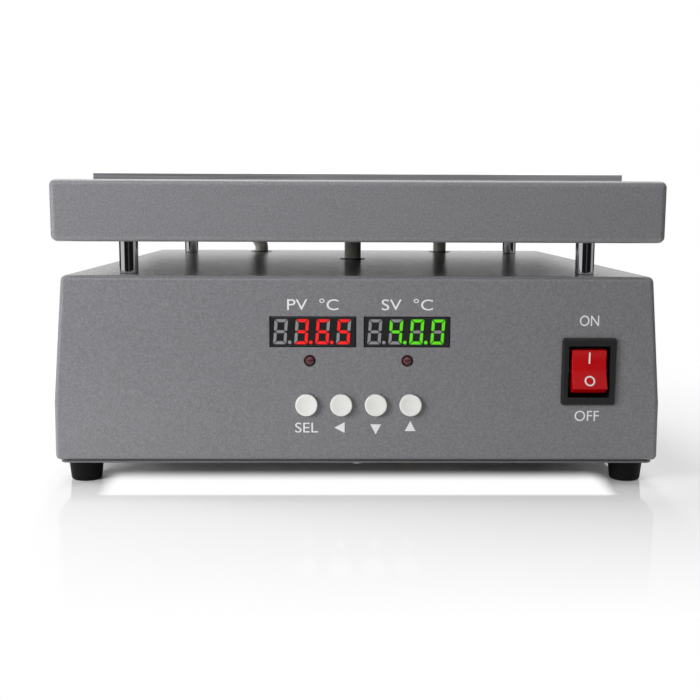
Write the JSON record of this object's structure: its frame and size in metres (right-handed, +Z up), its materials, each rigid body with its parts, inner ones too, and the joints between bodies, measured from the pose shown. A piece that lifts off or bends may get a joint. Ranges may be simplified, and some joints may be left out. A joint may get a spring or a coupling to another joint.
{
  "type": "heating platform",
  "caption": "Bench heating platform: sheet steel base with displays, keys and rocker switch, carrying an aluminium hot plate in a tray on posts.",
  "frame": {"origin": "on the floor plane under the feet, at the middle of the object's width and depth", "axes": "+X to the right as seen from the control panel, +Y from the control panel to the back, +Z up"},
  "size_m": [0.2876, 0.2942, 0.1484],
  "materials": {
    "grey_paint": "orange peel powder coat",
    "polished_steel": "polished",
    "zinc_steel": "zinc plated",
    "plate_aluminium": "fine milled",
    "black_rubber": "matte",
    "ceramic_white": "unglazed",
    "insulation_felt": "pressed fibre",
    "heater_sheath": "annealed",
    "glass_sleeve": "braided",
    "wire_insulation": "matte",
    "board_green": "solder mask",
    "part_black": "matte",
    "inlet_black": "satin",
    "display_black": "gloss",
    "lamp_lens": "gloss",
    "key_white": "satin",
    "plunger_grey": "matte",
    "switch_black": "satin",
    "switch_red": "satin",
    "contact_brass": "tinned",
    "fuse_glass": "plated",
    "core_lacquer": "lacquer",
    "part_blue": "gloss"
  },
  "bodies": {
    "platform": {"base_housing": "grey_paint", "bottom_plate": "grey_paint", "bottom_screws": "zinc_steel", "foot_front_left": "black_rubber", "foot_front_right": "black_rubber", "foot_rear_left": "black_rubber", "foot_rear_right": "black_rubber", "foot_screws": "zinc_steel", "post_front_left": "polished_steel", "post_front_right": "polished_steel", "post_rear_left": "polished_steel", "post_rear_right": "polished_steel", "post_studs": "zinc_steel", "post_nuts": "zinc_steel", "plate_spacers": "ceramic_white", "tray": "grey_paint", "insulation_board": "insulation_felt", "heating_plate": "plate_aluminium", "heater_element": "heater_sheath", "heater_clamps": "zinc_steel", "clamp_screws": "zinc_steel", "thermocouple_probe": "zinc_steel", "lead_left": "glass_sleeve", "lead_right": "glass_sleeve", "lead_sensor": "glass_sleeve", "base_grommets": "black_rubber", "tray_grommets": "ceramic_white", "lead_blocks": "ceramic_white", "control_board": "board_green", "control_parts": "part_black", "board_spacers": "zinc_steel", "board_nuts": "zinc_steel", "display_actual": "display_black", "display_set": "display_black", "indicator_lamps": "lamp_lens", "key_switches": "part_black", "switch_body": "switch_black", "switch_terminals": "contact_brass", "inlet_body": "inlet_black", "inlet_pins": "contact_brass", "inlet_screws": "zinc_steel", "power_board": "board_green", "power_spacers": "zinc_steel", "transformer": "core_lacquer", "triac_heatsink": "plate_aluminium", "power_parts": "part_blue", "earth_stud": "contact_brass", "mains_wires": "wire_insulation"},
    "select_key": {"key_select": "key_white", "plunger_select": "plunger_grey"},
    "shift_key": {"key_shift": "key_white", "plunger_shift": "plunger_grey"},
    "down_key": {"key_down": "key_white", "plunger_down": "plunger_grey"},
    "up_key": {"key_up": "key_white", "plunger_up": "plunger_grey"},
    "rocker": {"switch_rocker": "switch_red"},
    "drawer": {"fuse_drawer": "part_black", "fuse": "fuse_glass"}
  },
  "joints": [
    {"name": "select_key_press", "type": "slide", "parent": "platform", "child": "select_key", "axis": [0, 1, 0], "range_m": [0, 0.0008], "stiffness_N_per_m": 600, "springref_m": -0.001},
    {"name": "shift_key_press", "type": "slide", "parent": "platform", "child": "shift_key", "axis": [0, 1, 0], "range_m": [0, 0.0008], "stiffness_N_per_m": 600, "springref_m": -0.001},
    {"name": "down_key_press", "type": "slide", "parent": "platform", "child": "down_key", "axis": [0, 1, 0], "range_m": [0, 0.0008], "stiffness_N_per_m": 600, "springref_m": -0.001},
    {"name": "up_key_press", "type": "slide", "parent": "platform", "child": "up_key", "axis": [0, 1, 0], "range_m": [0, 0.0008], "stiffness_N_per_m": 600, "springref_m": -0.001},
    {"name": "rocker_tip", "type": "hinge", "parent": "platform", "child": "rocker", "pos_m": [0.109, -0.1334, 0.0558], "axis": [1, 0, 0], "range_deg": [0, 24]},
    {"name": "fuse_drawer_slide", "type": "slide", "parent": "platform", "child": "drawer", "axis": [0, 1, 0], "range_m": [0, 0.018]}
  ]
}
